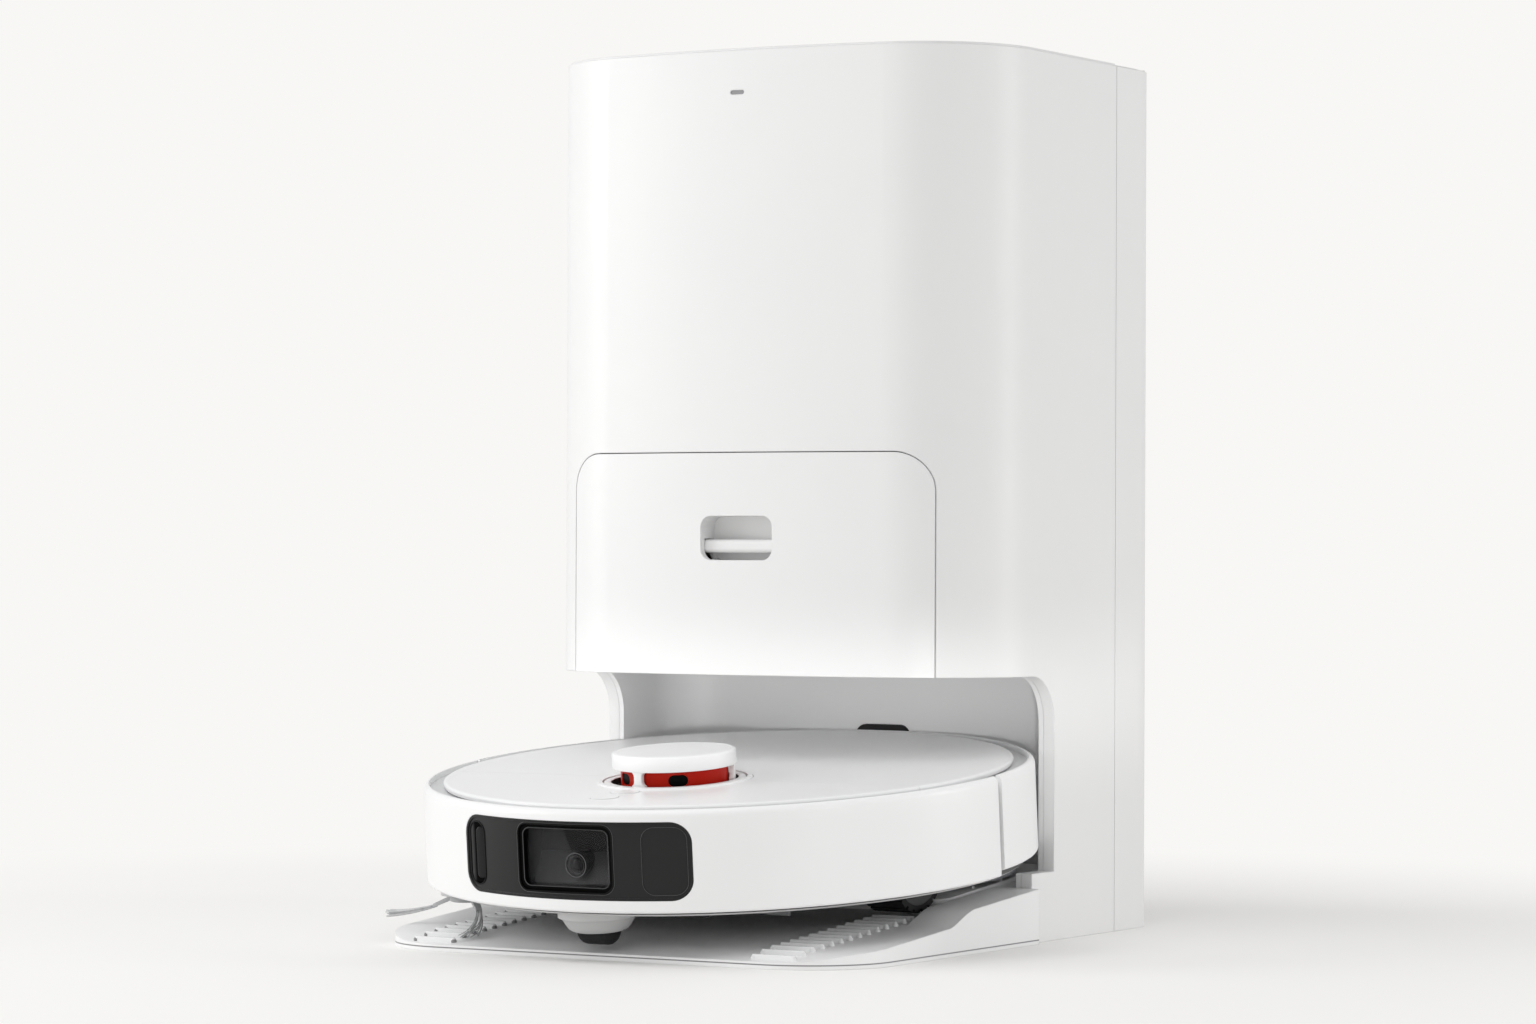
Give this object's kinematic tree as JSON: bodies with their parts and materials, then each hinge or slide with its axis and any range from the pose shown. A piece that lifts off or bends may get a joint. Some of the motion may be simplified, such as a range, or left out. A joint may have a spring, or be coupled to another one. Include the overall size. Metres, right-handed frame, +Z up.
{
  "type": "robot vacuum with docking station",
  "caption": "Disc-shaped robot vacuum and mop with a laser turret, parked nose-out on the ramp of its tall self-emptying, mop-washing station.",
  "frame": {"origin": "on the floor, below the middle of the station tower's front face, on the underside of the ramp tray", "axes": "+Z up, +Y towards the back of the station, +X to the right seen from the front; the robot faces -Y"},
  "size_m": [0.3519, 0.4328, 0.514],
  "materials": {
    "shell_white": "satin",
    "panel_white": "satin",
    "liner_grey": "matte",
    "tray_grey": "matte",
    "grip_clear": "gloss",
    "black_gloss": "gloss",
    "steel": "brushed",
    "contact_gold": "satin",
    "tank_clear": "gloss",
    "tank_dark": "gloss",
    "bag_paper": "matte",
    "inner_dark": "matte",
    "foot_rubber": "matte",
    "deck_white": "gloss",
    "groove_grey": "satin",
    "lens_glass": "gloss",
    "lidar_red": "gloss",
    "tyre_rubber": "matte",
    "brush_grey": "matte",
    "mop_cloth": "matte",
    "battery_blue": "satin"
  },
  "bodies": {
    "station": {"tower_shell": "shell_white", "rear_cover": "shell_white", "bay_liner": "liner_grey", "base_tray": "tray_grey", "grip_strips": "grip_clear", "washboard": "liner_grey", "signal_window": "black_gloss", "status_light": "liner_grey", "hinge_pins": "steel", "clean_tank": "tank_clear", "clean_tank_lid": "tray_grey", "dirty_tank": "tank_dark", "dirty_tank_lid": "inner_dark", "tank_bay": "tray_grey", "dust_bag": "bag_paper", "station_fan": "inner_dark", "rubber_feet": "foot_rubber", "housing_screws": "steel"},
    "top_lid": {"top_lid": "panel_white"},
    "clean_handle": {"clean_tank_handle": "panel_white"},
    "dirty_handle": {"dirty_tank_handle": "panel_white"},
    "dust_door": {"dust_door": "panel_white"},
    "door_latch": {"door_latch": "panel_white"},
    "contacts": {"charge_contacts": "contact_gold"},
    "robot": {"chassis": "inner_dark", "rear_shell": "deck_white", "groove_rear": "groove_grey", "top_deck": "deck_white", "turret_cap": "deck_white", "dust_box": "inner_dark", "dust_filter": "bag_paper", "robot_fan": "inner_dark", "battery_pack": "battery_blue", "brush_guard": "inner_dark", "cliff_sensors": "black_gloss", "charge_plates": "steel"},
    "bumper": {"bumper": "deck_white", "groove_front": "groove_grey", "sensor_window": "black_gloss", "camera_glass": "lens_glass", "camera_lens": "inner_dark"},
    "lidar": {"lidar_drum": "lidar_red", "lidar_lens": "black_gloss"},
    "power_button": {"power_button": "deck_white"},
    "home_button": {"home_button": "deck_white"},
    "rear_deck": {"rear_deck": "deck_white"},
    "main_brush": {"main_brush": "brush_grey"},
    "side_brush": {"side_brush": "brush_grey"},
    "arm_left": {"wheel_arm_left": "inner_dark"},
    "wheel_left": {"wheel_left": "liner_grey", "tyre_left": "tyre_rubber"},
    "arm_right": {"wheel_arm_right": "inner_dark"},
    "wheel_right": {"wheel_right": "liner_grey", "tyre_right": "tyre_rubber"},
    "caster_pod": {"caster_pod": "tray_grey"},
    "caster_wheel": {"caster_wheel": "tyre_rubber"},
    "mop_left": {"mop_plate_left": "inner_dark", "mop_pad_left": "mop_cloth"},
    "mop_right": {"mop_plate_right": "inner_dark", "mop_pad_right": "mop_cloth"}
  },
  "joints": [
    {"name": "lid_open", "type": "hinge", "parent": "station", "child": "top_lid", "pos_m": [0, 0.225, 0.511], "axis": [-1, 0, 0], "range_deg": [0, 85]},
    {"name": "clean_handle_lift", "type": "hinge", "parent": "station", "child": "clean_handle", "pos_m": [-0.072, 0.1, 0.466], "axis": [-1, 0, 0], "range_deg": [0, 90]},
    {"name": "dirty_handle_lift", "type": "hinge", "parent": "station", "child": "dirty_handle", "pos_m": [0.072, 0.1, 0.466], "axis": [-1, 0, 0], "range_deg": [0, 90]},
    {"name": "door_pull", "type": "slide", "parent": "station", "child": "dust_door", "axis": [0, -1, 0], "range_m": [0, 0.08]},
    {"name": "latch_press", "type": "slide", "parent": "dust_door", "child": "door_latch", "axis": [0, 0, -1], "range_m": [0, 0.0035], "stiffness_N_per_m": 150, "springref_m": -0.003},
    {"name": "contact_press", "type": "slide", "parent": "station", "child": "contacts", "axis": [0, 1, 0], "range_m": [0, 0.003], "stiffness_N_per_m": 300, "springref_m": -0.002},
    {"name": "robot_drive", "type": "slide", "parent": "station", "child": "robot", "axis": [0, -0.9998, -0.0218], "range_m": [0, 0.45]},
    {"name": "bumper_press", "type": "slide", "parent": "robot", "child": "bumper", "axis": [0, 0.9957, 0.0931], "range_m": [0, 0.0025], "stiffness_N_per_m": 800, "springref_m": -0.003},
    {"name": "lidar_spin", "type": "hinge", "parent": "robot", "child": "lidar", "pos_m": [0, -0.06593, 0.09805], "axis": [0, -0.0931, 0.9957], "continuous": true},
    {"name": "power_press", "type": "slide", "parent": "robot", "child": "power_button", "axis": [0, 0.0931, -0.9957], "range_m": [0, 0.0012], "stiffness_N_per_m": 300, "springref_m": -0.001},
    {"name": "home_press", "type": "slide", "parent": "robot", "child": "home_button", "axis": [0, 0.0931, -0.9957], "range_m": [0, 0.0012], "stiffness_N_per_m": 300, "springref_m": -0.001},
    {"name": "rear_deck_lift", "type": "slide", "parent": "robot", "child": "rear_deck", "axis": [0, -0.0931, 0.9957], "range_m": [0, 0.03]},
    {"name": "main_brush_spin", "type": "hinge", "parent": "robot", "child": "main_brush", "pos_m": [0, -0.04754, 0.04101], "axis": [1, 0, 0], "continuous": true},
    {"name": "side_brush_spin", "type": "hinge", "parent": "robot", "child": "side_brush", "pos_m": [-0.118, -0.09619, 0.03496], "axis": [0, -0.0931, 0.9957], "continuous": true},
    {"name": "suspension_left", "type": "hinge", "parent": "robot", "child": "arm_left", "pos_m": [0.088, 0.03664, 0.06445], "axis": [-1, 0, 0], "range_deg": [0, 12], "stiffness_Nm_per_rad": 2, "springref_deg": -14.32},
    {"name": "suspension_right", "type": "hinge", "parent": "robot", "child": "arm_right", "pos_m": [-0.088, 0.03664, 0.06445], "axis": [-1, 0, 0], "range_deg": [0, 12], "stiffness_Nm_per_rad": 2, "springref_deg": -14.32},
    {"name": "wheel_left_spin", "type": "hinge", "parent": "arm_left", "child": "wheel_left", "pos_m": [0.11, -0.00253, 0.05376], "axis": [1, 0, 0], "continuous": true},
    {"name": "wheel_right_spin", "type": "hinge", "parent": "arm_right", "child": "wheel_right", "pos_m": [-0.11, -0.00253, 0.05376], "axis": [1, 0, 0], "continuous": true},
    {"name": "caster_swivel", "type": "hinge", "parent": "robot", "child": "caster_pod", "pos_m": [0, -0.14597, 0.0303], "axis": [0, -0.0931, 0.9957], "continuous": true},
    {"name": "caster_roll", "type": "hinge", "parent": "caster_pod", "child": "caster_wheel", "pos_m": [0, -0.14489, 0.01876], "axis": [1, 0, 0], "continuous": true},
    {"name": "mop_left_spin", "type": "hinge", "parent": "robot", "child": "mop_left", "pos_m": [0.068, 0.08714, 0.04004], "axis": [0, -0.0931, 0.9957], "continuous": true},
    {"name": "mop_right_spin", "type": "hinge", "parent": "robot", "child": "mop_right", "pos_m": [-0.068, 0.08714, 0.04004], "axis": [0, -0.0931, 0.9957], "continuous": true}
  ],
  "couplings": [
    {"joint": "mop_right_spin", "follows": "mop_left_spin", "ratio": -1}
  ]
}
